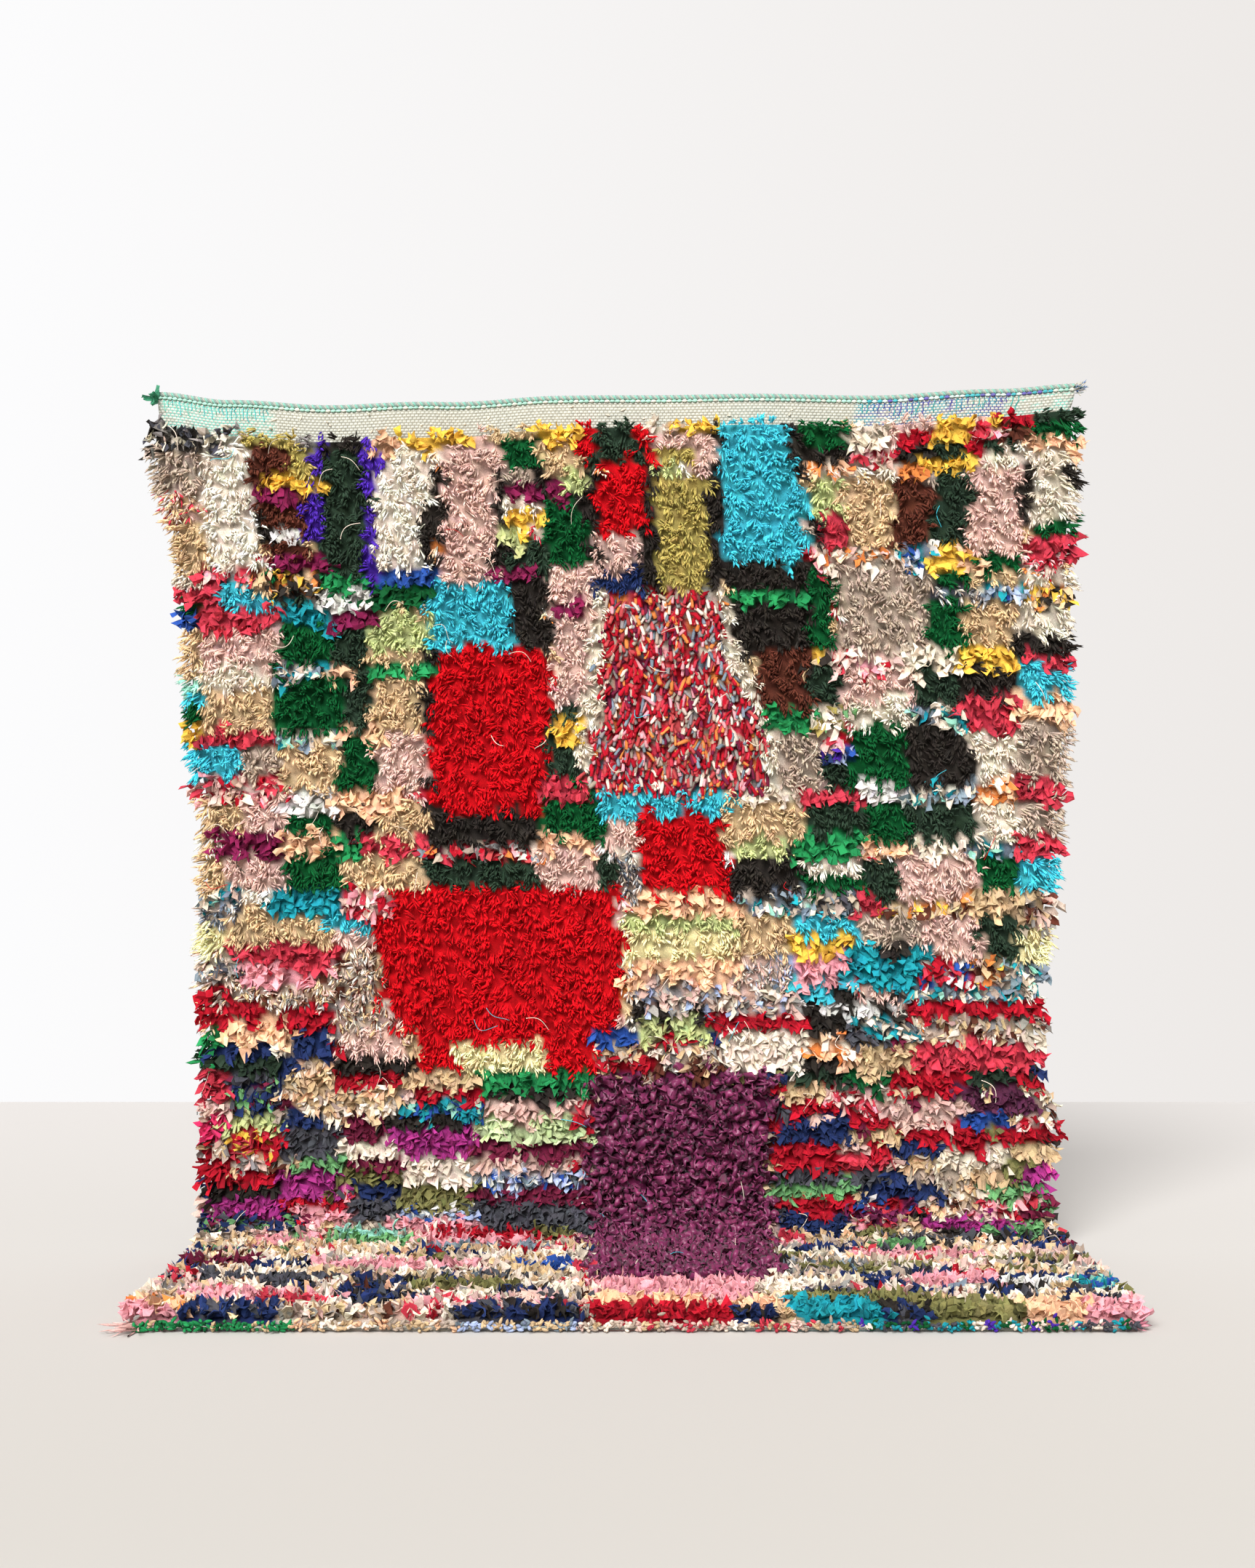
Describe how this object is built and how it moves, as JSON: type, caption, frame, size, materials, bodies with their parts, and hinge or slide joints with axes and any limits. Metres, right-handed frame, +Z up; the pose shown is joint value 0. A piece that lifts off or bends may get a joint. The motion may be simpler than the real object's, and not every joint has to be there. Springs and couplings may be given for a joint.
{
  "type": "boucherouite rug",
  "caption": "Shaggy hand-knotted rag rug of coloured blocks, hanging by its top edge with its lower end lying forward on the floor.",
  "frame": {"origin": "middle of the rug's top edge, on the middle of the woven ground", "axes": "+X across the rug towards its right edge as seen from the pile side; the pile faces -Y on the hanging stretch and +Z on the stretch that lies on the floor; +Z up"},
  "size_m": [1.4484, 0.571, 1.3259],
  "materials": {
    "wool_ground": "cream wool and cotton plain weave, ribbed",
    "rag_pile": "knotted pile of cut rags and yarns in many colours",
    "twined_cord": "twined grey-green and mint cotton",
    "overcast_edge": "overcast loops of cream, green and blue yarn",
    "green_rag": "green satin rag",
    "frayed_yarn": "frayed blue and cream yarn",
    "pink_tail": "loose pink cotton ends",
    "rose_tail": "loose rose cotton ends"
  },
  "bodies": {
    "root": {"ground_weave": "wool_ground", "shag_pile": "rag_pile", "end_cord": "twined_cord", "hem_binding": "overcast_edge", "corner_knot": "green_rag", "corner_fray": "frayed_yarn", "tail_left": "pink_tail", "tail_right": "rose_tail"}
  },
  "joints": []
}
